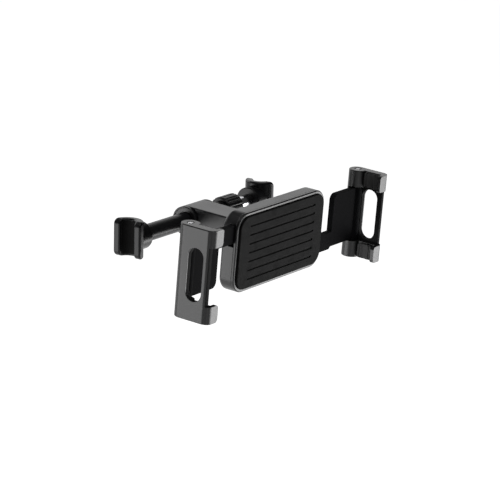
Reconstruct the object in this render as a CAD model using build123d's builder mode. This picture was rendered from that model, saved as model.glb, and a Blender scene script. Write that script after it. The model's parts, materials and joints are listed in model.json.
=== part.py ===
from build123d import *

import os
from math import acos, cos, pi, radians, sin, sqrt, tan

# Headrest tablet mount. X runs along the bar between the two headrest posts, Y points from the
# user to the seat, Z is up. The origin is on the bar's axis, midway between the posts.
# Lengths are in millimetres and angles in degrees.

# Clearances
running_clearance = 0.05
seat_clearance = 0.02
slide_clearance = 0.25
pivot_clearance = 0.3

# Post cradles at the ends of the bar
post_half_spacing = 71.0
post_radius = 5.0
post_clearance = 0.3
hook_lean = 4.0
liner_wall = 1.2
shell_wall = 4.0
cradle_height = 23.4
liner_inset = 1.5
mouth_depth = 0.4
mouth_corner = 3.5
hook_edge_round = 0.6
rim_round = 1.3
collar_radius = 8.7
collar_length = 4.8
socket_depth = 6.0
grub_radius = 1.5
grub_key = 0.8
grub_recess = 0.3

# Telescopic bar and its twist lock
tube_radius = 5.35
tube_wall = 1.15
tube_end = 34.0
rod_overlap = 54.0
rod_chamfer = 0.5
collet_length = 5.0
collet_tip_wall = 0.5
collet_slit = 1.0
nut_start = 26.0
nut_lip = 2.0
nut_wall = 2.6
nut_grips = 16
nut_grip_radius = 0.7
nut_chamfer = 0.8

# Hub that tilts on the tube
hub_half_width = 10.4
bush_wall = 1.3
spigot_wall = 1.2
hub_wall = 1.35
cap_thickness = 2.1
cap_spigot = 1.5
cap_rim = 1.2
cap_chamfer = 0.5
cap_recess = 0.4
cap_bore_clearance = 0.35
hub_edge_round = 0.8
flange_radius = 16.0
flange_rim = 2.5
flange_taper = 6.0
flange_chamfer = 0.5

# Swivel between hub and holder
bolt_radius = 4.0
bolt_thread_radius = 3.0
bolt_thread_length = 16.0
bolt_shoulder = 1.5
bolt_head_radius = 8.0
bolt_head = 2.3
bolt_key = 3.0
bolt_key_depth = 1.2
washer_height = 1.55
washer_thickness = 0.8
disc_radius = 13.0
disc_thickness = 1.5

# Holder body
arm_plane = -59.6
arm_thickness = 3.7
body_width = 94.0
body_height = 50.0
body_corner = 10.0
body_back_round = 2.5
body_front_round = 0.8
front_wall = 1.9
back_wall = 2.0
core_depth = 3.4
core_rib = 2.0
end_wall = 2.0
boss_radius = 17.0
boss_wall = 3.0
boss_chamfer = 0.8
head_room = 1.0
screw_inset_x = 12.0
screw_inset_z = 4.0
screw_wall = 1.15
screw_radius = 1.1
screw_head_radius = 1.9
screw_head_angle = 45.0
screw_length = 8.0
pad_margin = 2.0
pad_seat = 0.5
pad_thickness = 1.8
pad_edge_round = 0.7
pad_groove = 1.4
pad_groove_depth = 0.6
pad_groove_pitch = 5.6
pad_groove_count = 7

# Rack and pinion
gear_module = 1.0
pinion_teeth = 12
pressure_angle = 20.0
tooth_dedendum = 1.25
rack_addendum = 0.65
tooth_backlash = 0.17
axle_radius = 1.5
axle_head_radius = 2.6
axle_head = 0.8
pinion_boss_wall = 1.1
spring_width = 1.8
spring_room = 2.2
spring_strip = 0.35
spring_half_turns = 10
spring_gap = 0.15

# Arms
rail_overrun = 5.0
arm_close_travel = 13.0
arm_open_travel = 24.0
arm_stop_gap = 2.0
arm_corner = 4.0
arm_inner_corner = 2.0
arm_border = 2.5
arm_rib = 2.0
arm_pockets = 3
arm_pocket_depth = 1.2
arm_pocket_corner = 1.2

# Jaws
jaw_half_width = 95.9
jaw_height = 57.4
barrel_radius = 5.75
barrel_shell = 1.55
lug_height = 10.8
pin_radius = 2.0
pin_recess = 0.2
pin_recess_wall = 0.4
pin_chamfer = 0.3
open_stop_angle = 32.0
jaw_front = 18.25
jaw_front_round = 1.9
jaw_inner_round = 1.5
jaw_edge_round = 0.6
slot_width = 11.3
slot_height = 32.7
slot_back = 3.6
claw_inset = 0.8
claw_wall = 5.3
claw_round = 3.8
claw_front = 20.4
lip_reach = 10.2
lip_thickness = 2.4
lip_corner = 2.2
jaw_pad_thickness = 2.2
jaw_pad_depth = 10.5
jaw_pad_height = 9.6
jaw_pad_inset = 0.5
jaw_pad_gap = 0.5
jaw_pad_round = 0.8

# Bar and hub radii
shell_inner = post_radius + liner_wall
shell_outer = shell_inner + shell_wall
mouth_plane = post_half_spacing + mouth_depth
collar_face = post_half_spacing - shell_outer - collar_length
socket_end = collar_face + socket_depth
grub_place = collar_face + socket_depth / 2
tube_bore = tube_radius - tube_wall
rod_radius = tube_bore - running_clearance
rod_start = tube_end - rod_overlap
collet_end = tube_end + collet_length
nut_radius = tube_radius + nut_wall
nut_end = collet_end + nut_lip
bush_bore = tube_radius + running_clearance
bush_radius = bush_bore + bush_wall
spigot_radius = bush_radius + spigot_wall
hub_radius = spigot_radius + hub_wall
cap_bore = tube_radius + cap_bore_clearance

# Levels along Y, from the jaws' side back to the hub
lane_depth = arm_thickness + 2 * slide_clearance
joint_face = arm_plane - lane_depth / 2
lane_floor = arm_plane + lane_depth / 2
front_face = joint_face - front_wall
pad_floor = front_face + pad_seat
core_floor = lane_floor + core_depth
cover_back = core_floor + back_wall
head_front = lane_floor + spring_room + pivot_clearance
head_back = head_front + bolt_head
boss_floor = head_back + washer_height + running_clearance
boss_back = boss_floor + boss_wall
disc_front = boss_back + running_clearance
flange_front = disc_front + disc_thickness
shoulder_end = flange_front + bolt_shoulder
thread_end = shoulder_end + bolt_thread_length

# Rack and pinion sizes
pitch_radius = gear_module * pinion_teeth / 2
tooth_pitch = pi * gear_module
tip_radius = pitch_radius + gear_module
root_radius = pitch_radius - tooth_dedendum
base_radius = pitch_radius * cos(radians(pressure_angle))
rack_root = pitch_radius + tooth_dedendum
rack_tip = pitch_radius - rack_addendum
lane_bottom = rack_tip - 2 * slide_clearance
lane_top = body_height / 2 - screw_inset_z - screw_radius - screw_wall
rail_top = lane_top - slide_clearance
boss_pocket = bolt_head_radius + head_room
spring_back = lane_floor + (spring_room + spring_width) / 2
screw_cone = (screw_head_radius - screw_radius) / tan(radians(screw_head_angle))

# Jaw and arm plan
hinge_x = jaw_half_width - barrel_radius
knuckle_room = barrel_radius - barrel_shell
knuckle_radius = knuckle_room - pivot_clearance
jaw_plate = barrel_radius - arm_thickness / 2 - pivot_clearance
lug_start = jaw_height / 2 - lug_height
knuckle_half = lug_start - pivot_clearance
arm_half_height = knuckle_half - 2 * pivot_clearance
rail_end = arm_open_travel + rail_overrun
arm_shoulder = body_width / 2 + arm_close_travel + arm_stop_gap
pin_half = jaw_height / 2 - pin_recess

lean_up = (0, sin(radians(hook_lean)), cos(radians(hook_lean)))
lean_back = (0, cos(radians(hook_lean)), -sin(radians(hook_lean)))
lean_plane = Plane(origin=(0, 0, 0), x_dir=(1, 0, 0), z_dir=lean_up)


def facing(y):
    """Plane at depth y with sketch axes X and Z; its extrusions grow towards the user."""
    return Plane.XZ.offset(-y)


def across(x):
    """Plane at x with sketch axes Y and Z; its extrusions grow towards +X."""
    return Plane.YZ.offset(x)


def trough(side, radius, end):
    """Draw a half round open to the outside of one post, from its far side to the mouth plane."""
    with Locations((side * post_half_spacing, 0)):
        Circle(radius)
    with Locations((side * (post_half_spacing + radius / 2), 0)):
        Rectangle(radius, 2 * radius)
    with Locations((side * (end + radius), 0)):
        Rectangle(2 * radius, 3 * radius, mode=Mode.SUBTRACT)


def mouth_rims(piece, side):
    """The two flat rims of a cradle's mouth."""
    rims = piece.faces().filter_by(Axis.X).sort_by(Axis.X)
    return rims[:2] if side < 0 else rims[-2:]


def mouth_corners(piece, side):
    """Edges at the four corners of a cradle's mouth."""
    return mouth_rims(piece, side).edges().filter_by(Axis((0, 0, 0), lean_back))


def make_liner(side, gap):
    """Rubber lining of one cradle, set in from its rims and smaller than its seat by the gap."""
    with BuildPart() as liner:
        with BuildSketch(lean_plane):
            trough(side, shell_inner - gap, mouth_plane - liner_inset - gap)
        extrude(amount=cradle_height / 2 - liner_inset - gap, both=True)
        with BuildSketch(lean_plane):
            trough(side, post_radius, mouth_plane + mouth_depth)
        extrude(amount=cradle_height, both=True, mode=Mode.SUBTRACT)
        fillet(mouth_corners(liner, side), mouth_corner - liner_inset)
    return liner


def make_hook(side, bar_radius):
    """Cradle for one post: a half pipe open to the outside, with the bar's socket behind it."""
    with BuildPart() as hook:
        with BuildSketch(lean_plane):
            trough(side, shell_outer, mouth_plane)
        extrude(amount=cradle_height / 2, both=True)
        with BuildSketch(across(side * collar_face)):
            Circle(collar_radius)
        extrude(amount=side * (post_half_spacing - collar_face))
        with BuildSketch(lean_plane):
            trough(side, post_radius + post_clearance, mouth_plane + mouth_depth)
        extrude(amount=cradle_height, both=True, mode=Mode.SUBTRACT)
        fillet(mouth_corners(hook, side), mouth_corner)
        fillet(mouth_rims(hook, side).edges(), rim_round)
        add(make_liner(side, 0).part, mode=Mode.SUBTRACT)
        with BuildSketch(across(side * collar_face)):
            Circle(bar_radius + seat_clearance)
        extrude(amount=side * socket_depth, mode=Mode.SUBTRACT)
        with BuildSketch(Plane(origin=(side * grub_place, 0, 0), x_dir=(1, 0, 0), z_dir=lean_back)):
            Circle(grub_radius + seat_clearance)
        extrude(amount=2 * collar_radius, mode=Mode.SUBTRACT)
        collar_rim = hook.edges().filter_by(GeomType.CIRCLE).filter_by(
            lambda edge: abs(edge.radius - collar_radius) < seat_clearance
            and abs(edge.center().X - side * collar_face) < seat_clearance
        )
        fillet(collar_rim, hook_edge_round)
    return hook


def make_grub_screw(side, bar_radius):
    """Socket set screw that holds the bar in its hook, entered from the seat's side."""
    seat = Plane(origin=(side * grub_place, 0, 0), x_dir=(1, 0, 0), z_dir=lean_back)
    length = collar_radius - grub_recess - bar_radius - seat_clearance
    with BuildPart() as grub_screw:
        with BuildSketch(seat.offset(bar_radius + seat_clearance)):
            Circle(grub_radius)
        extrude(amount=length)
        with BuildSketch(seat.offset(collar_radius - grub_recess)):
            RegularPolygon(grub_key, 6)
        extrude(amount=-length / 2, mode=Mode.SUBTRACT)
    return grub_screw


def tooth_half_angle(radius):
    """Half the angle that a pinion tooth fills at a radius, from the involute of its base circle."""
    at_pitch = radians(pressure_angle)
    here = acos(min(1, base_radius / radius))
    half_at_pitch = (tooth_pitch / 2 - tooth_backlash) / (2 * pitch_radius)
    return half_at_pitch + (tan(at_pitch) - at_pitch) - (tan(here) - here)


def tooth_point(radius, hand):
    """Point on the flank of the pinion tooth that points up."""
    angle = hand * tooth_half_angle(max(radius, base_radius))
    return (radius * sin(angle), radius * cos(angle))


# Bar between the posts
with BuildPart() as outer_tube:
    with BuildSketch(across(-socket_end + seat_clearance)):
        Circle(tube_radius)
        Circle(tube_bore, mode=Mode.SUBTRACT)
    extrude(amount=tube_end + socket_end - seat_clearance)

with BuildPart() as inner_rod:
    with BuildSketch(across(rod_start)):
        Circle(rod_radius)
    extrude(amount=socket_end - seat_clearance - rod_start)
    chamfer(inner_rod.faces().sort_by(Axis.X)[0].edges(), rod_chamfer)

left_hook = make_hook(-1, tube_radius)
left_hook_liner = make_liner(-1, seat_clearance)
left_hook_screw = make_grub_screw(-1, tube_radius)
right_hook = make_hook(1, rod_radius)
right_hook_liner = make_liner(1, seat_clearance)
right_hook_screw = make_grub_screw(1, rod_radius)

# Split collet that the nut closes on the rod
collet_bore = rod_radius + running_clearance
with BuildPart() as lock_collet:
    with BuildSketch(Plane.XY):
        with BuildLine():
            Polyline(
                (tube_end, collet_bore),
                (collet_end, collet_bore),
                (collet_end, collet_bore + collet_tip_wall),
                (tube_end, tube_radius - running_clearance),
                close=True,
            )
        make_face()
    revolve(axis=Axis.X)
    with BuildSketch(Plane.XY):
        with Locations((tube_end + collet_length / 2, 0)):
            Rectangle(2 * collet_length, collet_slit)
    extrude(amount=2 * tube_radius, mode=Mode.SUBTRACT)

with BuildPart() as lock_nut:
    with BuildSketch(Plane.XY):
        with BuildLine():
            Polyline(
                (nut_start, tube_radius + running_clearance),
                (tube_end, tube_radius + running_clearance),
                (collet_end + pivot_clearance, collet_bore + collet_tip_wall + running_clearance),
                (nut_end, collet_bore + collet_tip_wall + running_clearance),
                (nut_end, nut_radius),
                (nut_start, nut_radius),
                close=True,
            )
        make_face()
    revolve(axis=Axis.X)
    ends = lock_nut.edges().filter_by(GeomType.CIRCLE).filter_by(
        lambda edge: abs(edge.radius - nut_radius) < seat_clearance
    )
    chamfer(ends, nut_chamfer)
    with BuildSketch(across(nut_start - nut_lip)):
        with PolarLocations(nut_radius + nut_grip_radius / 2, nut_grips):
            Circle(nut_grip_radius)
    extrude(amount=nut_end - nut_start + 2 * nut_lip, mode=Mode.SUBTRACT)

# Hub: round at the tube, flat above and below, with a neck that ends in the swivel flange
with BuildPart() as hub_block:
    with BuildSketch(across(-hub_half_width)):
        Circle(hub_radius)
        with Locations(((flange_front + flange_rim) / 2, 0)):
            Rectangle(-(flange_front + flange_rim), 2 * hub_radius)
    extrude(amount=2 * hub_half_width)
    fillet(hub_block.edges().filter_by(Axis.Y), hub_edge_round)
    with BuildSketch(Plane.XY):
        with BuildLine():
            Polyline(
                (0, flange_front),
                (flange_radius - flange_chamfer, flange_front),
                (flange_radius, flange_front + flange_chamfer),
                (flange_radius, flange_front + flange_rim),
                (hub_half_width, flange_front + flange_rim + flange_taper),
                (0, flange_front + flange_rim + flange_taper),
                close=True,
            )
        make_face()
    revolve(axis=Axis.Y)
    with BuildSketch(across(-hub_half_width)):
        Circle(bush_radius + seat_clearance)
    extrude(amount=2 * hub_half_width, mode=Mode.SUBTRACT)
    for side in (-1, 1):
        with BuildSketch(across(side * hub_half_width)):
            Circle(spigot_radius + seat_clearance)
        extrude(amount=-side * cap_spigot, mode=Mode.SUBTRACT)
    with BuildSketch(facing(flange_front)):
        Circle(bolt_radius + seat_clearance)
    extrude(amount=-bolt_shoulder, mode=Mode.SUBTRACT)
    with BuildSketch(facing(flange_front)):
        Circle(bolt_thread_radius + seat_clearance)
    extrude(amount=flange_front - thread_end, mode=Mode.SUBTRACT)

with BuildPart() as tilt_bush:
    with BuildSketch(across(-hub_half_width + cap_spigot)):
        Circle(bush_radius)
        Circle(bush_bore, mode=Mode.SUBTRACT)
    extrude(amount=2 * (hub_half_width - cap_spigot))

with BuildPart() as hub_cap_right:
    cap_face = hub_half_width + cap_thickness
    with BuildSketch(Plane.XY):
        with BuildLine():
            Polyline(
                (hub_half_width - cap_spigot, cap_bore),
                (cap_face - cap_recess, cap_bore),
                (cap_face - cap_recess, hub_radius - cap_rim),
                (cap_face, hub_radius - cap_rim),
                (cap_face, hub_radius),
                (hub_half_width, hub_radius),
                (hub_half_width, spigot_radius),
                (hub_half_width - cap_spigot, spigot_radius),
                close=True,
            )
        make_face()
    revolve(axis=Axis.X)
    rim = hub_cap_right.edges().filter_by(GeomType.CIRCLE).sort_by(Axis.X)[-2:]
    chamfer(rim.sort_by(SortBy.RADIUS)[-1], cap_chamfer)

with BuildPart() as hub_cap_left:
    mirror(hub_cap_right.part, about=Plane.YZ)

# Swivel bolt, its spring washer and the friction disc
with BuildPart() as swivel_bolt:
    with BuildSketch(Plane.XY):
        with BuildLine():
            Polyline(
                (0, head_front),
                (bolt_head_radius, head_front),
                (bolt_head_radius, head_back),
                (bolt_radius, head_back),
                (bolt_radius, shoulder_end),
                (bolt_thread_radius, shoulder_end),
                (bolt_thread_radius, thread_end),
                (0, thread_end),
                close=True,
            )
        make_face()
    revolve(axis=Axis.Y)
    with BuildSketch(facing(head_front)):
        RegularPolygon(bolt_key, 6)
    extrude(amount=-bolt_key_depth, mode=Mode.SUBTRACT)

with BuildPart() as spring_washer:
    washer_dish = washer_height - washer_thickness
    washer_bore = bolt_radius + 2 * running_clearance
    with BuildSketch(Plane.XY):
        with BuildLine():
            Polyline(
                (washer_bore, head_back),
                (washer_bore, head_back + washer_thickness),
                (bolt_head_radius, head_back + washer_height),
                (bolt_head_radius, head_back + washer_dish),
                close=True,
            )
        make_face()
    revolve(axis=Axis.Y)

with BuildPart() as friction_disc:
    with BuildSketch(facing(flange_front)):
        Circle(disc_radius)
        Circle(bolt_radius + 2 * running_clearance, mode=Mode.SUBTRACT)
    extrude(amount=disc_thickness)

# Holder body: rear cover with the arms' lanes, front cover, pad and screws
screw_spread = (body_width - 2 * screw_inset_x, body_height - 2 * screw_inset_z)
lane_height = lane_top - lane_bottom
lane_middle = (lane_top + lane_bottom) / 2
core_start = boss_pocket + core_rib
core_width = (body_width / 2 - end_wall - core_start) / 2 - core_rib
with BuildPart() as rear_cover:
    with BuildSketch(facing(cover_back)):
        RectangleRounded(body_width, body_height, body_corner)
    extrude(amount=cover_back - joint_face)
    fillet(rear_cover.faces().sort_by(Axis.Y)[-1].edges(), body_back_round)
    with BuildSketch(facing(boss_back)):
        Circle(boss_radius)
    extrude(amount=boss_back - core_floor)
    chamfer(rear_cover.faces().sort_by(Axis.Y)[-1].edges(), boss_chamfer)
    with BuildSketch(facing(lane_floor)):
        for side in (-1, 1):
            with Locations((side * end_wall, -side * lane_middle)):
                Rectangle(body_width, lane_height)
        Circle(tip_radius + 2 * slide_clearance)
    extrude(amount=lane_depth, mode=Mode.SUBTRACT)
    with BuildSketch(facing(core_floor)):
        for side in (-1, 1):
            with Locations((side * (core_start + core_width + core_rib / 2), 0)):
                with GridLocations(core_width + core_rib, 2 * lane_middle, 2, 2):
                    Rectangle(core_width, lane_height - 2 * core_rib)
    extrude(amount=core_depth, mode=Mode.SUBTRACT)
    with BuildSketch(facing(boss_floor)):
        Circle(boss_pocket)
    extrude(amount=boss_floor - lane_floor, mode=Mode.SUBTRACT)
    with BuildSketch(facing(boss_back)):
        Circle(bolt_radius + running_clearance)
    extrude(amount=boss_wall, mode=Mode.SUBTRACT)
    with BuildSketch(facing(joint_face)):
        with GridLocations(*screw_spread, 2, 2):
            Circle(screw_radius + seat_clearance)
    extrude(amount=front_wall - pad_seat - screw_length, mode=Mode.SUBTRACT)

with BuildPart() as front_cover:
    with BuildSketch(facing(joint_face)):
        RectangleRounded(body_width, body_height, body_corner)
    extrude(amount=front_wall)
    fillet(front_cover.faces().sort_by(Axis.Y)[0].edges(), body_front_round)
    with BuildSketch(facing(pad_floor)):
        RectangleRounded(
            body_width - 2 * pad_margin, body_height - 2 * pad_margin, body_corner - pad_margin
        )
    extrude(amount=pad_seat, mode=Mode.SUBTRACT)
    with BuildSketch(facing(pad_floor)):
        Circle(axle_head_radius + seat_clearance)
    extrude(amount=-axle_head, mode=Mode.SUBTRACT)
    with BuildSketch(facing(pad_floor)):
        Circle(axle_radius + seat_clearance)
    extrude(amount=-front_wall, mode=Mode.SUBTRACT)
    with BuildSketch(facing(pad_floor)):
        with GridLocations(*screw_spread, 2, 2):
            Circle(screw_head_radius + seat_clearance)
    extrude(amount=-screw_cone, taper=screw_head_angle, mode=Mode.SUBTRACT)
    with BuildSketch(facing(pad_floor)):
        with GridLocations(*screw_spread, 2, 2):
            Circle(screw_radius + seat_clearance)
    extrude(amount=-front_wall, mode=Mode.SUBTRACT)

with BuildPart() as cover_screws:
    with BuildSketch(facing(pad_floor)):
        with GridLocations(*screw_spread, 2, 2):
            Circle(screw_head_radius)
    extrude(amount=-screw_cone, taper=screw_head_angle)
    with BuildSketch(facing(pad_floor)):
        with GridLocations(*screw_spread, 2, 2):
            Circle(screw_radius)
    extrude(amount=-screw_length + seat_clearance)

pad_width = body_width - 2 * pad_margin - 2 * seat_clearance
pad_height = body_height - 2 * pad_margin - 2 * seat_clearance
with BuildPart() as front_pad:
    with BuildSketch(facing(pad_floor)):
        RectangleRounded(pad_width, pad_height, body_corner - pad_margin - seat_clearance)
    extrude(amount=pad_thickness)
    fillet(front_pad.faces().sort_by(Axis.Y)[0].edges(), pad_edge_round)
    with BuildSketch(facing(pad_floor - pad_thickness)):
        with GridLocations(0, pad_groove_pitch, 1, pad_groove_count):
            SlotOverall(pad_width - 2 * body_corner, pad_groove)
    extrude(amount=-pad_groove_depth, mode=Mode.SUBTRACT)

# Pinion on its axle, with the flat spiral spring that pulls the jaws together
with BuildPart() as pinion_axle:
    with BuildSketch(facing(pad_floor)):
        Circle(axle_head_radius)
    extrude(amount=-axle_head)
    with BuildSketch(facing(pad_floor)):
        Circle(axle_radius)
    extrude(amount=pad_floor - spring_back)

with BuildSketch() as tooth:
    with BuildLine():
        root_left = tooth_point(root_radius, -1)
        root_right = tooth_point(root_radius, 1)
        base_left = tooth_point(base_radius, -1)
        base_right = tooth_point(base_radius, 1)
        tip_left = tooth_point(tip_radius, -1)
        tip_right = tooth_point(tip_radius, 1)
        Polyline((0, 0), root_left, base_left)
        ThreePointArc(base_left, tooth_point(pitch_radius, -1), tip_left)
        Line(tip_left, tip_right)
        ThreePointArc(tip_right, tooth_point(pitch_radius, 1), base_right)
        Polyline(base_right, root_right, (0, 0))
    make_face()

arm_back = arm_plane + arm_thickness / 2
pinion_boss = axle_radius + pinion_boss_wall
with BuildPart() as pinion:
    with BuildSketch(facing(arm_back)):
        Circle(root_radius)
        with PolarLocations(0, pinion_teeth):
            add(tooth.sketch)
    extrude(amount=arm_thickness)
    with BuildSketch(facing(spring_back)):
        Circle(pinion_boss)
    extrude(amount=spring_back - arm_back)
    with BuildSketch(facing(spring_back)):
        Circle(axle_radius + running_clearance)
    extrude(amount=spring_back - joint_face, mode=Mode.SUBTRACT)

spring_start = pinion_boss + spring_gap + spring_strip / 2
spring_step = (boss_pocket - spring_gap - spring_strip / 2 - spring_start) / spring_half_turns
with BuildPart() as clamp_spring:
    with BuildSketch(facing(spring_back)):
        with BuildLine():
            for turn in range(spring_half_turns):
                odd = turn % 2
                CenterArc((odd * spring_step, 0), spring_start + turn * spring_step, 180 * odd, 180)
        trace(line_width=spring_strip)
    extrude(amount=spring_width)

# Arms: the left one runs in the upper lane, the right one is the same turned half round
rack_half = (tooth_pitch / 2 - tooth_backlash) / 2
rack_slope = tan(radians(pressure_angle))
rack_tooth = (
    (-rack_half - (rack_root - pitch_radius) * rack_slope, rack_root),
    (-rack_half + rack_addendum * rack_slope, rack_tip),
    (rack_half - rack_addendum * rack_slope, rack_tip),
    (rack_half + (rack_root - pitch_radius) * rack_slope, rack_root),
)
first_tooth = -int((arm_close_travel + tip_radius) / tooth_pitch)
last_tooth = int(rail_end / tooth_pitch - 1)
pocket_start = arm_shoulder + arm_border
pocket_end = hinge_x - barrel_radius - arm_border
pocket_height = (2 * (arm_half_height - arm_border) + arm_rib) / arm_pockets - arm_rib
with BuildPart() as left_arm:
    with BuildSketch(facing(arm_back)) as arm_outline:
        with BuildLine():
            Polyline(
                (-hinge_x, -arm_half_height),
                (-arm_shoulder, -arm_half_height),
                (-arm_shoulder, rack_root),
                (rail_end, rack_root),
                (rail_end, rail_top),
                (-arm_shoulder + rail_top - arm_half_height, rail_top),
                (-arm_shoulder, arm_half_height),
                (-hinge_x, arm_half_height),
                close=True,
            )
        make_face()
        shoulder = arm_outline.vertices().filter_by(
            lambda corner: abs(corner.X + arm_shoulder) < seat_clearance
        ).sort_by(Axis.Y)
        fillet(shoulder[0], arm_corner)
        fillet(shoulder[1], arm_inner_corner)
        for number in range(first_tooth, last_tooth + 1):
            with Locations(((number + 0.5) * tooth_pitch, 0)):
                Polygon(*rack_tooth, align=None)
    extrude(amount=arm_thickness)
    with BuildSketch(facing(arm_back)):
        with Locations((-(pocket_start + pocket_end) / 2, 0)):
            with GridLocations(0, pocket_height + arm_rib, 1, arm_pockets):
                RectangleRounded(pocket_end - pocket_start, pocket_height, arm_pocket_corner)
    extrude(amount=arm_pocket_depth, mode=Mode.SUBTRACT)
    with BuildSketch(Plane.XY):
        with Locations((-hinge_x, arm_plane)):
            Circle(knuckle_radius)
    extrude(amount=knuckle_half, both=True)
    with BuildSketch(Plane.XY):
        with Locations((-hinge_x, arm_plane)):
            Circle(pin_radius + running_clearance)
    extrude(amount=jaw_height, both=True, mode=Mode.SUBTRACT)

with BuildPart() as right_arm:
    add(left_arm.part, rotation=(0, 180, 0))

# Jaws: a plate tangent to its hinge barrel, with a slot and two claws that end in lips
plate_gap = barrel_radius - jaw_plate
claw_outer = jaw_half_width - claw_inset
claw_inner = claw_outer - claw_wall
lip_tip = claw_outer - lip_reach
lip_back = claw_front - lip_thickness
with BuildPart() as left_jaw:
    with BuildSketch(Plane.XY) as jaw_plan:
        with Locations((-jaw_half_width + jaw_plate / 2, arm_plane - jaw_front / 2)):
            Rectangle(jaw_plate, jaw_front)
        nose = jaw_plan.vertices().group_by(Axis.Y)[0].sort_by(Axis.X)
        fillet(nose[0], jaw_front_round)
        fillet(nose[-1], jaw_inner_round)
        with Locations((-hinge_x, arm_plane)):
            Circle(barrel_radius)
    extrude(amount=jaw_height / 2, both=True)
    with BuildSketch(Plane.XY):
        with Locations((-hinge_x, arm_plane)):
            Circle(knuckle_room)
            Polygon(
                (0, 0),
                (-plate_gap, -sqrt(barrel_radius**2 - plate_gap**2)),
                (-plate_gap, -2 * barrel_radius),
                (2 * barrel_radius, -2 * barrel_radius),
                (2 * barrel_radius, 2 * barrel_radius * tan(radians(open_stop_angle))),
                align=None,
            )
    extrude(amount=lug_start, both=True, mode=Mode.SUBTRACT)
    with BuildSketch(across(-jaw_half_width)):
        with Locations((arm_plane - slot_back - slot_width / 2, 0)):
            SlotOverall(slot_height, slot_width, rotation=90)
    extrude(amount=2 * jaw_plate, both=True, mode=Mode.SUBTRACT)
    for side in (-1, 1):
        with BuildSketch(Plane.XY.offset(side * lug_start)) as claw_plan:
            with BuildLine():
                Polyline(
                    (-claw_outer, arm_plane),
                    (-claw_outer, arm_plane - claw_front),
                    (-lip_tip, arm_plane - claw_front),
                    (-lip_tip, arm_plane - lip_back),
                    (-claw_inner, arm_plane - lip_back),
                    (-claw_inner, arm_plane),
                    close=True,
                )
            make_face()
            fillet(claw_plan.vertices().group_by(Axis.Y)[0].sort_by(Axis.X)[0], claw_round)
        extrude(amount=side * lug_height)
    tip_edges = left_jaw.edges().filter_by(Axis.Y).filter_by(
        lambda edge: abs(edge.center().X + lip_tip) < seat_clearance
    )
    fillet(tip_edges, lip_corner)
    rim_edges = left_jaw.edges().filter_by(Axis.Y).filter_by(
        lambda edge: abs(edge.center().X + jaw_half_width) < seat_clearance
    )
    barrel_edges = left_jaw.edges().filter_by(GeomType.CIRCLE).filter_by(
        lambda edge: abs(edge.radius - barrel_radius) < seat_clearance
        and abs(abs(edge.center().Z) - jaw_height / 2) < seat_clearance
    )
    fillet(rim_edges + barrel_edges, jaw_edge_round)
    with BuildSketch(Plane.XY):
        with Locations((-hinge_x, arm_plane)):
            Circle(pin_radius + seat_clearance)
    extrude(amount=jaw_height, both=True, mode=Mode.SUBTRACT)
    for side in (-1, 1):
        with BuildSketch(Plane.XY.offset(side * jaw_height / 2)):
            with Locations((-hinge_x, arm_plane)):
                Circle(pin_radius + pin_recess_wall)
        extrude(amount=-side * pin_recess, mode=Mode.SUBTRACT)

with BuildPart() as left_jaw_pads:
    pad_middle = jaw_height / 2 - jaw_pad_inset - jaw_pad_height / 2
    with BuildSketch(across(-claw_inner)):
        with Locations((arm_plane - barrel_radius - jaw_pad_gap - jaw_pad_depth / 2, 0)):
            with GridLocations(0, 2 * pad_middle, 1, 2):
                Rectangle(jaw_pad_depth, jaw_pad_height)
    extrude(amount=jaw_pad_thickness)
    pad_faces = left_jaw_pads.faces().filter_by(Axis.X).group_by(Axis.X)[-1]
    fillet(pad_faces.edges(), jaw_pad_round)

with BuildPart() as left_hinge_pin:
    with BuildSketch(Plane.XY):
        with Locations((-hinge_x, arm_plane)):
            Circle(pin_radius)
    extrude(amount=pin_half, both=True)
    chamfer(left_hinge_pin.edges().filter_by(GeomType.CIRCLE), pin_chamfer)

with BuildPart() as right_jaw:
    mirror(left_jaw.part, about=Plane.YZ)

with BuildPart() as right_jaw_pads:
    mirror(left_jaw_pads.part, about=Plane.YZ)

with BuildPart() as right_hinge_pin:
    mirror(left_hinge_pin.part, about=Plane.YZ)

pieces = {
    "outer_tube": outer_tube,
    "left_hook": left_hook,
    "left_hook_liner": left_hook_liner,
    "left_hook_screw": left_hook_screw,
    "lock_collet": lock_collet,
    "inner_rod": inner_rod,
    "right_hook": right_hook,
    "right_hook_liner": right_hook_liner,
    "right_hook_screw": right_hook_screw,
    "lock_nut": lock_nut,
    "hub_block": hub_block,
    "hub_cap_left": hub_cap_left,
    "hub_cap_right": hub_cap_right,
    "tilt_bush": tilt_bush,
    "swivel_bolt": swivel_bolt,
    "spring_washer": spring_washer,
    "friction_disc": friction_disc,
    "rear_cover": rear_cover,
    "front_cover": front_cover,
    "front_pad": front_pad,
    "cover_screws": cover_screws,
    "pinion_axle": pinion_axle,
    "pinion": pinion,
    "clamp_spring": clamp_spring,
    "left_arm": left_arm,
    "left_jaw": left_jaw,
    "left_jaw_pads": left_jaw_pads,
    "left_hinge_pin": left_hinge_pin,
    "right_arm": right_arm,
    "right_jaw": right_jaw,
    "right_jaw_pads": right_jaw_pads,
    "right_hinge_pin": right_hinge_pin,
}
os.makedirs("parts", exist_ok=True)
for name, piece in pieces.items():
    piece.part.label = name
    export_step(piece.part, f"parts/{name}.step")
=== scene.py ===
import json

import bpy
import numpy as np
from bpy.props import FloatProperty, FloatVectorProperty, IntProperty, PointerProperty
from mathutils import Matrix, Vector


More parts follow.
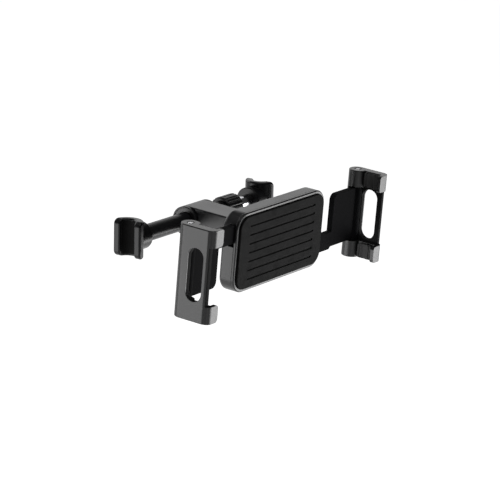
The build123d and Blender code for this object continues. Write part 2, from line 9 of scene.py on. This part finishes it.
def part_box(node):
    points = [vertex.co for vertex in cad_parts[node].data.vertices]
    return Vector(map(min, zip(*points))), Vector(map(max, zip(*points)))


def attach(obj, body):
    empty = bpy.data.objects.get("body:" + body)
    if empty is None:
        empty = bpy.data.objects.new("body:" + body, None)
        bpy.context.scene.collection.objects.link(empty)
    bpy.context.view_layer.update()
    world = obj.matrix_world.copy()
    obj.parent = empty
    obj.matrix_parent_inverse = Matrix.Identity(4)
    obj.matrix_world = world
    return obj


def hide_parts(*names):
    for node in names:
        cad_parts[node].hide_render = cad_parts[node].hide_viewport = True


bl_info = {
    "name": "Headrest Tablet Mount",
    "version": (1, 0, 0),
    "blender": (4, 5, 0),
    "location": "View3D > Sidebar > Mount",
    "description": "Finishes, small pieces and studio of a tablet mount for headrest posts",
    "category": "Object",
}

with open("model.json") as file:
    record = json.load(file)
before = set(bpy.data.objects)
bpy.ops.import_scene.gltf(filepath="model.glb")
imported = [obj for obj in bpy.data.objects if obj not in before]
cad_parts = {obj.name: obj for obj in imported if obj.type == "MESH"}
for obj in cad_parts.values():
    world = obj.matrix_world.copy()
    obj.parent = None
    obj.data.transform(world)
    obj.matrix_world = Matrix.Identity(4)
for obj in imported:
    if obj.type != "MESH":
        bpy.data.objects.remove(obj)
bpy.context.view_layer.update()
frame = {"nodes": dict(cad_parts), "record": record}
NODES = frame["nodes"]
SLOT_COLOURS = {
    finish["slot"]: tuple(finish["base_color"]) for finish in frame["record"]["materials"]
}
SEAM_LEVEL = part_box("front_cover")[1][1]
JAW_OUTER = -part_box("left_jaw")[0][0]
JAW_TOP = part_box("left_jaw")[1][2]
HINGE_LEVEL = (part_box("left_hinge_pin")[0][1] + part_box("left_hinge_pin")[1][1]) / 2

WHITE = (1.0, 1.0, 1.0, 1.0)
FLOOR_GREY = (0.8, 0.8, 0.8, 1.0)
SENSOR_WIDTH = 36.0

# Roughness of each moulded plastic, and how strongly it reflects
PLASTICS = {
    "matte_black_plastic": (0.30, 0.17),
    "arm_plastic": (0.80, 0.03),
    "satin_black_plastic": (0.34, 0.30),
    "jaw_plastic": (0.34, 0.30),
    "jointed_covers": (0.34, 0.30),
}
PLASTIC_IOR = 1.5
RUBBER_ROUGHNESS, RUBBER_SHINE = 0.72, 0.06
PAINT_ROUGHNESS, PAINT_SHINE = 0.30, 0.11
STEEL_ROUGHNESS, ROD_ROUGHNESS, PIN_ROUGHNESS, OXIDE_ROUGHNESS = 0.28, 0.20, 0.24, 0.42
ACETAL_ROUGHNESS, ACETAL_IOR = 0.38, 1.48

# Spots and lines that the finishes are made of: size in metres
FLOW_MARK, RUBBED_SPOT, SCRATCH, SCRATCHED_PATCH = 0.02, 0.004, 0.0009, 0.012
BLOOM, ORANGE_PEEL, SLIDING_MARK, HAZE = 0.006, 0.0022, 0.0006, 0.018
TURNED_LINE, STAIN, CLOUD, CUT_LINE = 0.00035, 0.003, 0.005, 0.0004

# Relief of paint, steel and bearing plastic, and the borders of the seam and of the painted shade in
# the jaws: metres
PEEL_HEIGHT, TURNED_HEIGHT, CUT_HEIGHT = 0.000006, 0.000004, 0.000006
SEAM_CORE, SEAM_BORDER = 0.00006, 0.00022
SHADE_START, SHADE_FULL, SHADE_FADE = 0.0005, 0.0009, 0.0002

# Small pieces: points along and round each skin, and shares of its size
DOME_RINGS, DOME_POINTS, DOME_MIDDLE, DOME_SINK, PUNCH_SHARE = 14, 32, 0.04, 0.2, 0.3
PAD_RINGS, PAD_POINTS, PAD_POWER, PAD_FACE, PAD_BORDER = 25, 192, 7, 0.6, 0.93
PIN_CHAMFER = 0.0003
DOME_RIM = 0.999

# Noise and rounded edges in the shaders, and the sockets that a colour Mix node has for colours
NOISE_ROUGHNESS, BEVEL_SAMPLES, EDGE_GAIN = 0.55, 6, 4
MIX_FACTOR, MIX_FIRST, MIX_SECOND, MIX_RESULT = 0, 6, 7, 2

# Stretches of noise: even, and drawn out into rings round each axis
EVEN = (1, 1, 1)
ROUND_X, ROUND_Y, ROUND_Z = (1, 0.06, 0.06), (0.06, 1, 0.06), (0.06, 0.06, 1)

# Soft lights: place, width and height in metres
LIGHTS = {
    "top_light": ((-0.35, -0.25, 1.5), 1.3, 1.3),
    "left_light": ((-0.88, 0.48, -0.30), 0.9, 0.5),
    "right_light": ((0.68, -0.75, -0.34), 0.9, 0.45),
    "rim_light": ((1.05, 0.66, 0.42), 1.0, 0.8),
    "back_light": ((0.10, 1.30, 0.55), 1.2, 0.8),
    "front_light": ((-0.69, -1.00, -0.34), 0.2, 0.6),
}


def colour(title, about, default):
    """A colour that the user can change."""
    return FloatVectorProperty(name=title, description=about, subtype="COLOR", size=3, min=0, max=1,
                               default=default)


def length(title, about, default):
    """A length in metres that the user can change."""
    return FloatProperty(name=title, description=about, subtype="DISTANCE", unit="LENGTH",
                         precision=5, default=default)


def amount(title, about, default):
    """A plain number that the user can change."""
    return FloatProperty(name=title, description=about, default=default)


def place(title, about, default):
    """A point in metres that the user can change."""
    return FloatVectorProperty(name=title, description=about, subtype="TRANSLATION", unit="LENGTH",
                               size=3, default=default)


class MountFinishes(bpy.types.PropertyGroup):
    """Colours and surface grain of the mouldings, rubber and metal."""
    satin: colour("Satin plastic", "Moulded covers, hub and jaws",
                  SLOT_COLOURS["satin_black_plastic"])
    matte: colour("Matte plastic", "Moulded cradles, nut and arms",
                  SLOT_COLOURS["matte_black_plastic"])
    rubber: colour("Rubber", "Pads and cradle linings", SLOT_COLOURS["soft_black_rubber"])
    paint: colour("Tube paint", "Gloss paint of the bar", SLOT_COLOURS["gloss_black_metal"])
    steel: colour("Steel", "Rod, pins and bolt", SLOT_COLOURS["bright_steel"])
    oxide: colour("Blackened steel", "Small screws", SLOT_COLOURS["black_screw_steel"])
    bush: colour("Bush plastic", "Bush, disc, pinion and collet", SLOT_COLOURS["bush_plastic"])
    grain: length("Grain", "Size of one grain of the moulded texture", 0.0007)
    relief: length("Relief", "Height of the moulded texture", 0.000018)
    # On plastics and rubber the band along each edge is painted lighter, partly as wear and partly
    # as painted highlight; the width also rounds the shading over edges
    edge: length("Worn edge", "Width of the polished band along an edge", 0.0004)
    # Claw height and slot start bound the painted shade on the jaws' slot walls and inner sides
    claw_height: length("Claw height", "Height of a claw; the jaw is dull between two", 0.0108)
    slot_start: length("Slot start", "Distance from the hinge to where the jaw is dull", 0.0033)


class MountPieces(bpy.types.PropertyGroup):
    """Sizes of the small pieces that are added to the solids."""
    pad_height: length("Pad height", "Height of one jaw pad along the jaw", 0.0096)
    rib_count: IntProperty(name="Pad ribs", description="Ribs across each jaw pad",
                           default=6, min=1)
    rib_depth: length("Rib depth", "Depth of the grooves between the ribs", 0.0005)
    dome_height: length("Pin dome", "Height of the peened end of a hinge pin", 0.00018)
    punch_depth: length("Punch mark", "Depth of the mark in the pin's end", 0.00012)


class MountStudio(bpy.types.PropertyGroup):
    """Camera, floor and soft lights."""
    camera: place("Camera", "Where the camera stands", (-1.28263, -0.8955, 0.46448))
    aim: place("Aim", "Point that the camera looks at", (0.01520, -0.03226, -0.01674))
    roll: FloatProperty(name="Roll", description="Turn of the camera about its line of sight",
                        subtype="ANGLE", unit="ROTATION", default=np.radians(-4.84))
    lens: FloatProperty(name="Lens", description="Focal length in millimetres", default=188.12)
    floor: length("Floor level", "Height of the floor", -0.6)
    floor_half: length("Floor half width", "Half the side of the floor", 8.0)
    floor_fill: amount("Floor fill", "White that the floor shows by itself where it is seen", 0.96)
    sky: amount("Sky", "Strength of the even light from all round", 0.05)
    top_light: amount("Top light", "Power of the light above", 9.0)
    left_light: amount("Left light", "Power of the light at the back left", 7.0)
    right_light: amount("Right light", "Power of the light at the front right", 9.6)
    rim_light: amount("Rim light", "Power of the light at the back right", 3.2)
    back_light: amount("Back light", "Power of the light behind", 9.0)
    front_light: amount("Front light", "Power of the narrow light in front", 0.5)


class MountSettings(bpy.types.PropertyGroup):
    """All settings of the mount."""
    finishes: PointerProperty(type=MountFinishes)
    pieces: PointerProperty(type=MountPieces)
    studio: PointerProperty(type=MountStudio)


class Signal:
    """A socket's value over a surface; Python's operators on it add Math nodes."""

    def __init__(self, wiring, socket):
        self.wiring = wiring
        self.socket = socket

    def maths(self, operation, *terms):
        """One Math node on the given terms."""
        return self.wiring.node("ShaderNodeMath", {"operation": operation}, dict(enumerate(terms)))

    def __add__(self, other):
        return self.maths("ADD", self, other)

    __radd__ = __add__

    def __sub__(self, other):
        return self.maths("SUBTRACT", self, other)

    def __rsub__(self, other):
        return self.maths("SUBTRACT", other, self)

    def __mul__(self, other):
        return self.maths("MULTIPLY", self, other)

    def __abs__(self):
        return self.maths("ABSOLUTE", self)

    def __or__(self, other):
        return self.maths("MAXIMUM", self, other)

    def above(self, low, high):
        """Smooth step from 0 at low to 1 at high."""
        settings = {"interpolation_type": "SMOOTHSTEP"}
        sockets = {"Value": self, "From Min": low, "From Max": high}
        return self.wiring.node("ShaderNodeMapRange", settings, sockets)


class Wiring:
    """The node tree of one material or of the world."""

    def __init__(self, tree):
        self.tree = tree
        tree.nodes.clear()

    def node(self, kind, settings=None, sockets=None, output=0):
        """Add a node with settings, and values or links of its sockets; gives one output, if any."""
        made = self.tree.nodes.new(kind)
        for name, value in (settings or {}).items():
            setattr(made, name, value)
        for name, value in (sockets or {}).items():
            if isinstance(value, Signal):
                self.tree.links.new(value.socket, made.inputs[name])
            else:
                made.inputs[name].default_value = value
        return Signal(self, made.outputs[output]) if made.outputs else None

    def here(self):
        """Object coordinates in metres, in the frame of the part."""
        return self.node("ShaderNodeTexCoord", output="Object")

    def along(self, axis):
        """One Object coordinate."""
        return self.node("ShaderNodeSeparateXYZ", {}, {"Vector": self.here()}, axis)

    def noise(self, size, detail=2.0, stretch=EVEN):
        """Noise from 0 to 1 with spots of a size in metres, longer where stretch is small."""
        spread = self.node("ShaderNodeMapping", {}, {"Vector": self.here(), "Scale": stretch})
        sockets = {"Vector": spread, "Scale": 1 / size, "Detail": detail,
                   "Roughness": NOISE_ROUGHNESS}
        return self.node("ShaderNodeTexNoise", {}, sockets, "Fac")

    def mixed(self, factor, first, second):
        """Colour between two colours."""
        sockets = {MIX_FACTOR: factor, MIX_FIRST: first, MIX_SECOND: second}
        return self.node("ShaderNodeMix", {"data_type": "RGBA"}, sockets, MIX_RESULT)

    def rounded(self, width):
        """Normal rounded over the edges, and how far it turns there from 0 to 1."""
        soft = self.node("ShaderNodeBevel", {"samples": BEVEL_SAMPLES}, {"Radius": width})
        plain = self.node("ShaderNodeNewGeometry", output="Normal")
        settings = {"operation": "DOT_PRODUCT"}
        agree = self.node("ShaderNodeVectorMath", settings, {0: soft, 1: plain}, "Value")
        return soft, ((1 - agree) * EDGE_GAIN).above(0.1, 1)

    def relief(self, height, size, normal):
        """Bump of a height signal in metres."""
        sockets = {"Height": height, "Distance": size, "Strength": 1.0, "Normal": normal}
        return self.node("ShaderNodeBump", {}, sockets)

    def surface(self, sockets):
        """The shader and the material's output."""
        shader = self.node("ShaderNodeBsdfPrincipled", {}, sockets)
        self.node("ShaderNodeOutputMaterial", {}, {"Surface": shader})


def tint(base, factor, lift=0.0):
    """A colour made lighter or darker, with its alpha."""
    return tuple(min(1.0, part * factor + lift) for part in base) + (1.0,)


def new_finish(name):
    """An empty material and its wiring."""
    material = bpy.data.materials.new(name)
    material.use_nodes = True
    return material, Wiring(material.node_tree)


def moulded(name, base, look, seam=None, shaded=None):
    """Moulded plastic: spark-eroded grain, faint flow marks, handling scratches and rubbed edges
    painted lighter, partly as wear and partly as a painted highlight.

    The seam, a level along Y, draws the narrow joint between two covers. The last argument, the
    bounds of the painted shade, is an outer level along X, a level along Y and half a height along
    Z: the sides that lie further in than the first, in front of the second and within the third
    get painted shade, a much darker colour, and are made rougher.
    """
    roughness, shine = PLASTICS[name]
    material, wiring = new_finish(name)
    normal, edge = wiring.rounded(look.edge)
    grain = wiring.noise(look.grain, 3.0)
    flow = wiring.noise(FLOW_MARK, 2.0, (1, 1, 0.4))
    rubbed = wiring.noise(RUBBED_SPOT, 3.0)
    scratch = wiring.noise(SCRATCH, 1.0, (0.04, 0.5, 1)).above(0.70, 0.78)
    scratch = scratch * wiring.noise(SCRATCHED_PATCH).above(0.5, 0.7)
    wear_and_highlight = edge * rubbed.above(0.35, 0.7)
    height = grain - scratch * 0.4
    shade = wiring.mixed(flow.above(0.3, 0.7), tint(base, 0.5), tint(base, 0.7))
    # Rubbed edges painted lighter: partly wear, partly a painted highlight
    shade = wiring.mixed(wear_and_highlight * 0.6, shade, tint(base, 1.5, 0.02))
    shade = wiring.mixed(scratch * 0.25, shade, tint(base, 1.4, 0.02))
    if seam is not None:
        line = 1 - abs(wiring.along("Y") - seam).above(SEAM_CORE, SEAM_BORDER)
        shade = wiring.mixed(line, shade, tint(base, 0.15))
        height = height - line * 4
    rough = roughness + (flow - 0.5) * 0.10 + (grain - 0.5) * 0.08
    rough = rough - wear_and_highlight * 0.08 - scratch * 0.06
    # Painted shade: the jaws' slot walls and inner sides between the claws are tinted much darker
    # and made rougher
    if shaded is not None:
        level, back, half_height = shaded
        inside = (level - abs(wiring.along("X"))).above(SHADE_START, SHADE_FULL)
        inside = inside * (back - wiring.along("Y")).above(0, SHADE_FADE)
        beyond = abs(wiring.along("Z")).above(half_height, half_height + SHADE_FADE)
        inside = inside * (1 - beyond)
        shade = wiring.mixed(inside, shade, tint(base, 0.15))
        rough = rough + inside * 0.6
    wiring.surface({"Base Color": shade, "Roughness": rough, "IOR": PLASTIC_IOR,
                    "Specular IOR Level": shine,
                    "Normal": wiring.relief(height, look.relief, normal)})
    return material


def rubber(name, base, look):
    """Moulded rubber: matte fine grain, a patchy bloom of pale dust and slightly shiny edges:
    smoother, and painted lighter as a painted sheen.
    """
    material, wiring = new_finish(name)
    normal, edge = wiring.rounded(look.edge)
    grain = wiring.noise(look.grain * 0.7, 4.0)
    bloom = wiring.noise(BLOOM, 4.0).above(0.45, 0.75)
    shade = wiring.mixed(bloom * 0.5, tint(base, 0.4), tint(base, 0.8, 0.003))
    # Painted sheen: the edges are painted lighter; their lower roughness is the real sheen
    shade = wiring.mixed(edge * 0.4, shade, tint(base, 1.8))
    rough = RUBBER_ROUGHNESS + (grain - 0.5) * 0.2 + bloom * 0.1 - edge * 0.1
    wiring.surface({"Base Color": shade, "Roughness": rough, "IOR": PLASTIC_IOR,
                    "Specular IOR Level": RUBBER_SHINE,
                    "Normal": wiring.relief(grain, look.relief * 1.4, normal)})
    return material


def gloss_paint(name, base, look):
    """Stoved gloss paint on a tube: slight orange peel, fine sliding marks along the bar."""
    material, wiring = new_finish(name)
    normal, edge = wiring.rounded(look.edge)
    peel = wiring.noise(ORANGE_PEEL, 1.0)
    marks = wiring.noise(SLIDING_MARK, 2.0, (0.02, 1, 1)).above(0.62, 0.78)
    haze = wiring.noise(HAZE, 3.0)
    shade = wiring.mixed(marks * 0.3, tint(base, 1.0), tint(base, 1.4, 0.01))
    shade = wiring.mixed(edge * 0.6, shade, tint(base, 1.2, 0.05))
    rough = PAINT_ROUGHNESS + haze.above(0.4, 0.8) * 0.06 + marks * 0.08
    wiring.surface({"Base Color": shade, "Roughness": rough, "IOR": PLASTIC_IOR,
                    "Specular IOR Level": PAINT_SHINE,
                    "Normal": wiring.relief(peel, PEEL_HEIGHT, normal)})
    return material


def turned_steel(name, base, stretch, look, roughness=STEEL_ROUGHNESS):
    """Turned or ground steel: fine lines drawn out by the stretch, stains and bright edges."""
    material, wiring = new_finish(name)
    normal, edge = wiring.rounded(look.edge)
    lines = wiring.noise(TURNED_LINE, 2.0, stretch)
    stain = wiring.noise(STAIN, 4.0)
    shade = wiring.mixed(stain.above(0.4, 0.75), tint(base, 1.0), tint(base, 0.82))
    shade = wiring.mixed(edge * 0.5, shade, tint(base, 1.15, 0.02))
    rough = roughness + (lines - 0.5) * 0.16 + stain.above(0.45, 0.8) * 0.12
    wiring.surface({"Base Color": shade, "Metallic": 1.0, "Roughness": rough,
                    "Normal": wiring.relief(lines, TURNED_HEIGHT, normal)})
    return material


def acetal(name, base, look):
    """Natural bearing plastic: waxy, with faint machining lines and clouding."""
    material, wiring = new_finish(name)
    normal, edge = wiring.rounded(look.edge)
    cloud = wiring.noise(CLOUD, 3.0)
    lines = wiring.noise(CUT_LINE, 1.0, (1, 0.2, 1))
    shade = wiring.mixed(cloud.above(0.35, 0.7), tint(base, 0.92), tint(base, 1.06))
    rough = ACETAL_ROUGHNESS + (lines - 0.5) * 0.12 - edge * 0.06
    wiring.surface({"Base Color": shade, "Roughness": rough, "IOR": ACETAL_IOR,
                    "Normal": wiring.relief(lines, CUT_HEIGHT, normal)})
    return material


def paint(material, *names):
    """Put one material on CAD nodes."""
    for name in names:
        mesh = NODES[name].data
        mesh.materials.clear()
        mesh.materials.append(material)


def add_piece(name, verts, faces, material, body, slot):
    """Mesh object at the origin from arrays of points and faces, riding on a body."""
    mesh = bpy.data.meshes.new(name)
    mesh.from_pydata(verts, [], faces)
    mesh.validate()
    mesh.materials.append(material)
    mesh.polygons.foreach_set("use_smooth", np.ones(len(mesh.polygons), dtype=bool))
    made = bpy.data.objects.new(name, mesh)
    bpy.context.scene.collection.objects.link(made)
    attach(made, body)
    return made


def capped_rings(rings):
    """Faces of a closed skin over stacked rings: quads between neighbours, fans to two end points.

    rings is an array (ring, point round, xyz), and each end point is the mean of its end ring.
    """
    count, around = rings.shape[:2]
    ends = np.array([rings[0].mean(axis=0), rings[-1].mean(axis=0)])
    verts = np.concatenate([rings.reshape(-1, 3), ends])
    column = np.arange(around)
    following = (column + 1) % around
    row = np.arange(count - 1)[:, None] * around
    above = row + around
    quads = np.stack([row + column, row + following, above + following, above + column], -1)
    last = (count - 1) * around
    low_fan = np.stack([following, column, np.full(around, count * around)], -1)
    high_fan = np.stack([last + column, last + following, np.full(around, count * around + 1)], -1)
    return verts, quads.reshape(-1, 4).tolist() + low_fan.tolist() + high_fan.tolist()


def joined(*skins):
    """Several skins as one list of points and one of faces."""
    verts, faces, start = [], [], 0
    for skin_verts, skin_faces in skins:
        verts.append(skin_verts)
        faces += [[start + corner for corner in face] for face in skin_faces]
        start += len(skin_verts)
    return np.concatenate(verts), faces


def pin_dome(axis_x, axis_y, level, radius, up, sizes):
    """Peened end of a pin: a flat dome with a punch mark, on rings from below the end face inwards.

    The height over the end face is the dome's height times the root of 1 - (r/R) squared, less the
    mark's depth times e to the power of minus the square of r over the mark's radius.
    """
    share = np.linspace(1, DOME_MIDDLE, DOME_RINGS)
    dome = sizes.dome_height * np.sqrt(1 - share**2 * DOME_RIM)
    mark = sizes.punch_depth * np.exp(-((share / PUNCH_SHARE) ** 2))
    height = np.concatenate([[-DOME_SINK * sizes.dome_height], dome - mark])
    share = np.concatenate([[1], share])
    turn = np.linspace(0, 2 * np.pi, DOME_POINTS, endpoint=False) * up
    rings = np.stack([
        axis_x + radius * share[:, None] * np.cos(turn),
        axis_y + radius * share[:, None] * np.sin(turn),
        np.broadcast_to((level + up * height)[:, None], (len(share), len(turn))),
    ], -1)
    return capped_rings(rings)


def squared(wave):
    """A sine or cosine bulged to the superellipse of the pads: its size to the power 2/7."""
    return np.sign(wave) * np.abs(wave) ** (2 / PAD_POWER)


def ribbed_pad(low, high, face_side, sizes):
    """Ribbed rubber pad in a box: a rounded section in X and Y carried along Z.

    The section is the superellipse of power 7. Its face side is cut by a wave along Y, deepest
    between the ribs, and both ends along Z shrink by the same power so that they are rounded.
    """
    middle, half = (low + high) / 2, (high - low) / 2
    turn = np.linspace(0, 2 * np.pi, PAD_POINTS, endpoint=False)
    across, deep = squared(np.sin(turn)), squared(np.cos(turn))
    ribs = 0.5 - 0.5 * np.cos(np.pi * (deep + 1) * sizes.rib_count)
    ribbed = (across > PAD_FACE) * (np.abs(deep) < PAD_BORDER)
    cut = (1 - ribs) ** 2 * sizes.rib_depth * ribbed
    climb = np.linspace(-np.pi / 2, np.pi / 2, PAD_RINGS)[1:-1]
    rise, shrink = squared(np.sin(climb)), squared(np.cos(climb))
    face = half[0] * across - cut
    rings = np.stack([
        middle[0] + face_side * shrink[:, None] * face,
        middle[1] - face_side * shrink[:, None] * half[1] * deep,
        np.broadcast_to((middle[2] + half[2] * rise)[:, None], (len(climb), len(turn))),
    ], -1)
    return capped_rings(rings[:, ::-1])


def corners(node):
    """A node's box as two arrays in metres."""
    low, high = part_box(node)
    return np.array(low), np.array(high)


class MOUNT_OT_bar(bpy.types.Operator):
    """Finish the bar, and all rubber, screws and bearing plastic and the arms with it."""
    bl_idname = "mount.bar"
    bl_label = "Finish the Bar"

    def execute(self, context):
        look = context.scene.mount.finishes
        paint(gloss_paint("gloss_black_metal", look.paint, look), "outer_tube")
        paint(turned_steel("ground_rod", look.steel, ROUND_X, look, ROD_ROUGHNESS), "inner_rod")
        paint(moulded("matte_black_plastic", look.matte, look), "left_hook", "right_hook",
              "lock_nut")
        paint(moulded("arm_plastic", look.matte, look), "left_arm", "right_arm")
        paint(rubber("soft_black_rubber", look.rubber, look), "left_hook_liner", "right_hook_liner",
              "front_pad", "left_jaw_pads", "right_jaw_pads")
        paint(turned_steel("black_screw_steel", look.oxide, EVEN, look, OXIDE_ROUGHNESS),
              "left_hook_screw", "right_hook_screw", "cover_screws")
        paint(acetal("bush_plastic", look.bush, look), "lock_collet", "tilt_bush", "friction_disc",
              "pinion")
        return {"FINISHED"}


class MOUNT_OT_hub(bpy.types.Operator):
    """Finish the hub with its caps, the jaws, and the steel inside the hub and holder."""
    bl_idname = "mount.hub"
    bl_label = "Finish the Hub"

    def execute(self, context):
        look = context.scene.mount.finishes
        paint(moulded("satin_black_plastic", look.satin, look), "hub_block", "hub_cap_left",
              "hub_cap_right")
        # Bounds of the painted shade on the jaws' slot walls and inner sides
        shaded = (JAW_OUTER, HINGE_LEVEL - look.slot_start, JAW_TOP - look.claw_height)
        paint(moulded("jaw_plastic", look.satin, look, shaded=shaded), "left_jaw", "right_jaw")
        paint(turned_steel("turned_bolt", look.steel, ROUND_Y, look), "swivel_bolt",
              "spring_washer", "pinion_axle", "clamp_spring")
        return {"FINISHED"}


class MOUNT_OT_holder(bpy.types.Operator):
    """Finish the holder's two covers with the joint between them."""
    bl_idname = "mount.holder"
    bl_label = "Finish the Holder"

    def execute(self, context):
        look = context.scene.mount.finishes
        paint(moulded("jointed_covers", look.satin, look, SEAM_LEVEL), "rear_cover", "front_cover")
        return {"FINISHED"}


class MOUNT_OT_jaw_pads(bpy.types.Operator):
    """Make the ribbed rubber pads of the jaws."""
    bl_idname = "mount.jaw_pads"
    bl_label = "Make the Jaw Pads"

    def execute(self, context):
        sizes = context.scene.mount.pieces
        for side, hand in (("left", 1), ("right", -1)):
            node = f"{side}_jaw_pads"
            low, high = corners(node)
            tall = np.array([0, 0, sizes.pad_height])
            upper = ribbed_pad(np.array([low[0], low[1], high[2]]) - tall, high, hand, sizes)
            lower = ribbed_pad(low, np.array([high[0], high[1], low[2]]) + tall, hand, sizes)
            made = add_piece(f"{side}_ribbed_pads", *joined(upper, lower),
                             bpy.data.materials["soft_black_rubber"], f"jaw_{side}",
                             "soft_black_rubber")
            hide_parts(node)
        return {"FINISHED"}


class MOUNT_OT_pin_ends(bpy.types.Operator):
    """Finish the hinge pins and make their peened ends."""
    bl_idname = "mount.pin_ends"
    bl_label = "Make the Pin Ends"

    def execute(self, context):
        settings = context.scene.mount
        look, sizes = settings.finishes, settings.pieces
        steel = turned_steel("hinge_pin_steel", look.steel, ROUND_Z, look, PIN_ROUGHNESS)
        for side in ("left", "right"):
            node = f"{side}_hinge_pin"
            paint(steel, node)
            low, high = corners(node)
            middle, radius = (low + high) / 2, (high[0] - low[0]) / 2 - PIN_CHAMFER
            domes = [pin_dome(middle[0], middle[1], level, radius, up, sizes)
                     for level, up in ((high[2], 1), (low[2], -1))]
            add_piece(f"{side}_pin_ends", *joined(*domes), steel, f"jaw_{side}", "bright_steel")
        return {"FINISHED"}


class MOUNT_OT_stage(bpy.types.Operator):
    """Set up the floor, the even sky, the soft lights and the camera."""
    bl_idname = "mount.stage"
    bl_label = "Set up the Stage"

    def execute(self, context):
        scene, studio = context.scene, context.scene.mount.studio
        self.floor(scene, studio)
        self.sky(scene, studio)
        for name, (spot, wide, tall) in LIGHTS.items():
            self.soft_light(scene, name, spot, wide, tall, getattr(studio, name))
        self.camera(scene, studio)
        scene.view_settings.view_transform = "Standard"
        return {"FINISHED"}

    def seen_white(self, wiring):
        """1 for camera, glossy and transmission rays."""
        seen, mirrored, refracted = [
            wiring.node("ShaderNodeLightPath", output=ray)
            for ray in ("Is Camera Ray", "Is Glossy Ray", "Is Transmission Ray")
        ]
        return seen | mirrored | refracted

    def floor(self, scene, studio):
        """Square pale floor: matte, and filled up towards white where it is seen."""
        material, wiring = new_finish("pale_floor")
        matte = wiring.node("ShaderNodeBsdfDiffuse", {}, {"Color": FLOOR_GREY})
        fill = self.seen_white(wiring) * studio.floor_fill
        glow = wiring.node("ShaderNodeEmission", {}, {"Color": WHITE, "Strength": fill})
        both = wiring.node("ShaderNodeAddShader", {}, {0: matte, 1: glow})
        wiring.node("ShaderNodeOutputMaterial", {}, {"Surface": both})
        half, level = studio.floor_half, studio.floor
        mesh = bpy.data.meshes.new("floor")
        mesh.from_pydata([(-half, -half, level), (half, -half, level), (half, half, level),
                          (-half, half, level)], [], [(0, 1, 2, 3)])
        mesh.materials.append(material)
        made = bpy.data.objects.new("floor", mesh)
        scene.collection.objects.link(made)

    def sky(self, scene, studio):
        """Even pale light from all round, white where it is seen."""
        scene.world = bpy.data.worlds.new("studio_sky")
        scene.world.use_nodes = True
        wiring = Wiring(scene.world.node_tree)
        seen = wiring.node("ShaderNodeLightPath", output="Is Camera Ray")
        strength = studio.sky + seen * (1 - studio.sky)
        glow = wiring.node("ShaderNodeBackground", {}, {"Color": WHITE, "Strength": strength})
        wiring.node("ShaderNodeOutputWorld", {}, {"Surface": glow})

    def soft_light(self, scene, name, spot, wide, tall, power):
        """Rectangular soft light that faces the middle of the mount."""
        lamp = bpy.data.lights.new(name, "AREA")
        lamp.shape, lamp.size, lamp.size_y, lamp.energy = "RECTANGLE", wide, tall, power
        made = bpy.data.objects.new(name, lamp)
        made.location = spot
        aim = Vector(scene.mount.studio.aim)
        made.rotation_euler = (aim - Vector(spot)).to_track_quat("-Z", "Y").to_euler()
        scene.collection.objects.link(made)

    def camera(self, scene, studio):
        """Camera from its place, the point it looks at, and a roll about that line."""
        data = bpy.data.cameras.new("camera")
        data.lens, data.sensor_width = studio.lens, SENSOR_WIDTH
        made = bpy.data.objects.new("camera", data)
        sight = (Vector(studio.aim) - Vector(studio.camera)).normalized()
        level = sight.to_track_quat("-Z", "Y").to_matrix().to_4x4()
        turn = Matrix.Rotation(studio.roll, 4, sight)
        made.matrix_world = Matrix.Translation(studio.camera) @ turn @ level
        scene.collection.objects.link(made)
        scene.camera = made


class MOUNT_PT_panel(bpy.types.Panel):
    """Settings and makers of the mount."""
    bl_idname = "MOUNT_PT_panel"
    bl_label = "Headrest Tablet Mount"
    bl_space_type = "VIEW_3D"
    bl_region_type = "UI"
    bl_category = "Mount"

    def draw(self, context):
        settings = context.scene.mount
        for group in (settings.finishes, settings.pieces, settings.studio):
            box = self.layout.box()
            for name in group.__annotations__:
                box.prop(group, name)
        for maker in MAKERS:
            self.layout.operator(maker.bl_idname)


MAKERS = (MOUNT_OT_bar, MOUNT_OT_hub, MOUNT_OT_holder, MOUNT_OT_jaw_pads, MOUNT_OT_pin_ends,
          MOUNT_OT_stage)
CLASSES = (MountFinishes, MountPieces, MountStudio, MountSettings, *MAKERS, MOUNT_PT_panel)


def register():
    """Register the classes and hang the settings on the scene."""
    for made in CLASSES:
        bpy.utils.register_class(made)
    bpy.types.Scene.mount = PointerProperty(type=MountSettings)


def unregister():
    """Take the settings and the classes away again."""
    del bpy.types.Scene.mount
    for made in reversed(CLASSES):
        bpy.utils.unregister_class(made)


def main():
    """Run every maker in order."""
    register()
    bpy.ops.mount.bar()
    bpy.ops.mount.hub()
    bpy.ops.mount.holder()
    bpy.ops.mount.jaw_pads()
    bpy.ops.mount.pin_ends()
    bpy.ops.mount.stage()


if __name__ == "__main__":
    main()
